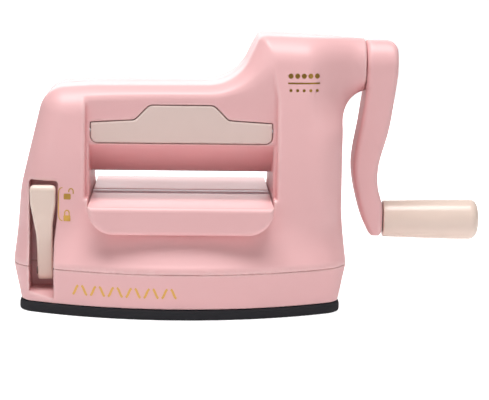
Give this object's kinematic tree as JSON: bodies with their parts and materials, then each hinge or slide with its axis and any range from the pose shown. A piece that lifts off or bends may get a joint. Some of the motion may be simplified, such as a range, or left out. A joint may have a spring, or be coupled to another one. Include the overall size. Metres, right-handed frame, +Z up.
{
  "type": "die cutting machine",
  "caption": "Compact hand-cranked die cutting machine: two geared rollers in a bowed two-storey shell, feed trays front and back, tipping flap, S-shaped crank and suction base with lever.",
  "frame": {"origin": "on the table under the middle of the base, at the flat underside of the suction cup", "axes": "+X towards the crank, along the rollers; -Y is the front, where the work is fed in; +Z up"},
  "size_m": [0.2154, 0.108, 0.1256],
  "materials": {
    "blush_shell": "satin moulded plastic, blush pink",
    "cream_plastic": "satin moulded plastic, cream",
    "black_rubber": "matt black rubber",
    "cup_rubber": "soft dark grey rubber",
    "bright_steel": "ground and polished steel",
    "zinc_plate": "zinc-plated sheet steel",
    "bush_bronze": "sintered bronze",
    "gear_acetal": "natural acetal"
  },
  "bodies": {
    "machine": {"front_housing": "blush_shell", "rear_housing": "blush_shell", "base_shell": "blush_shell", "rubber_foot_ring": "black_rubber", "base_plate": "zinc_plate", "front_tray": "blush_shell", "rear_tray": "blush_shell", "left_side_plate": "zinc_plate", "right_side_plate": "zinc_plate", "top_tie_bar": "bright_steel", "front_tie_bar": "bright_steel", "rear_tie_bar": "bright_steel", "upper_left_bush": "bush_bronze", "upper_right_bush": "bush_bronze", "lower_left_bush": "bush_bronze", "lower_right_bush": "bush_bronze", "crank_bush": "bush_bronze", "crank_inner_bush": "bush_bronze", "idler_axle": "bright_steel", "left_shaft_bracket": "zinc_plate", "right_shaft_bracket": "zinc_plate", "suction_spring": "bright_steel", "deck_screw_left_front": "bright_steel", "deck_screw_left_rear": "bright_steel", "deck_screw_right_front": "bright_steel", "deck_screw_right_rear": "bright_steel", "plate_screw_left_front": "bright_steel", "plate_screw_left_rear": "bright_steel", "plate_screw_right_front": "bright_steel", "plate_screw_right_rear": "bright_steel", "housing_screw_upper_left": "bright_steel", "housing_screw_lower_left": "bright_steel", "housing_screw_lower_right": "bright_steel", "housing_screw_upper_right": "bright_steel"},
    "upper_roller_group": {"upper_roller": "bright_steel", "upper_mesh_gear": "gear_acetal", "drive_gear": "gear_acetal"},
    "lower_roller_group": {"lower_roller": "bright_steel", "lower_mesh_gear": "gear_acetal"},
    "idler": {"idler_gear": "gear_acetal"},
    "crank": {"crank_shaft": "bright_steel", "crank_pinion": "gear_acetal", "crank_arm": "blush_shell", "crank_screw": "bright_steel", "grip_spindle": "bright_steel"},
    "crank_grip": {"grip": "cream_plastic"},
    "flap": {"front_flap": "cream_plastic", "left_flap_pin": "bright_steel", "right_flap_pin": "bright_steel"},
    "lever": {"lock_lever": "cream_plastic", "lever_shaft": "bright_steel", "lift_cam": "gear_acetal"},
    "suction": {"suction_cup": "cup_rubber", "lift_yoke": "zinc_plate"}
  },
  "joints": [
    {"name": "crank_turn", "type": "hinge", "parent": "machine", "child": "crank", "pos_m": [0.0849, 0, 0.1111], "axis": [1, 0, 0], "continuous": true},
    {"name": "grip_spin", "type": "hinge", "parent": "crank", "child": "crank_grip", "pos_m": [0.0944, 0, 0.0384], "axis": [1, 0, 0], "continuous": true},
    {"name": "idler_spin", "type": "hinge", "parent": "machine", "child": "idler", "pos_m": [0.0508, 0, 0.09535], "axis": [1, 0, 0], "continuous": true},
    {"name": "upper_roller_spin", "type": "hinge", "parent": "machine", "child": "upper_roller_group", "pos_m": [0, 0, 0.0691], "axis": [1, 0, 0], "continuous": true},
    {"name": "lower_roller_spin", "type": "hinge", "parent": "machine", "child": "lower_roller_group", "pos_m": [0, 0, 0.0421], "axis": [1, 0, 0], "continuous": true},
    {"name": "lever_turn", "type": "hinge", "parent": "machine", "child": "lever", "pos_m": [-0.0617, -0.026, 0.0175], "axis": [1, 0, 0], "range_deg": [0, 70]},
    {"name": "suction_lift", "type": "slide", "parent": "machine", "child": "suction", "axis": [0, 0, 1], "range_m": [0, 0.00206], "deforming": ["suction_spring"]},
    {"name": "flap_tip", "type": "hinge", "parent": "machine", "child": "flap", "pos_m": [0, -0.0288, 0.0824], "axis": [1, 0, 0], "range_deg": [0, 75]}
  ],
  "couplings": [
    {"joint": "idler_spin", "follows": "crank_turn", "ratio": -0.90909},
    {"joint": "upper_roller_spin", "follows": "crank_turn", "ratio": 0.41667},
    {"joint": "lower_roller_spin", "follows": "crank_turn", "ratio": -0.41667},
    {"joint": "lever_turn", "follows": "suction_lift", "rad_per_m": 591.7}
  ]
}
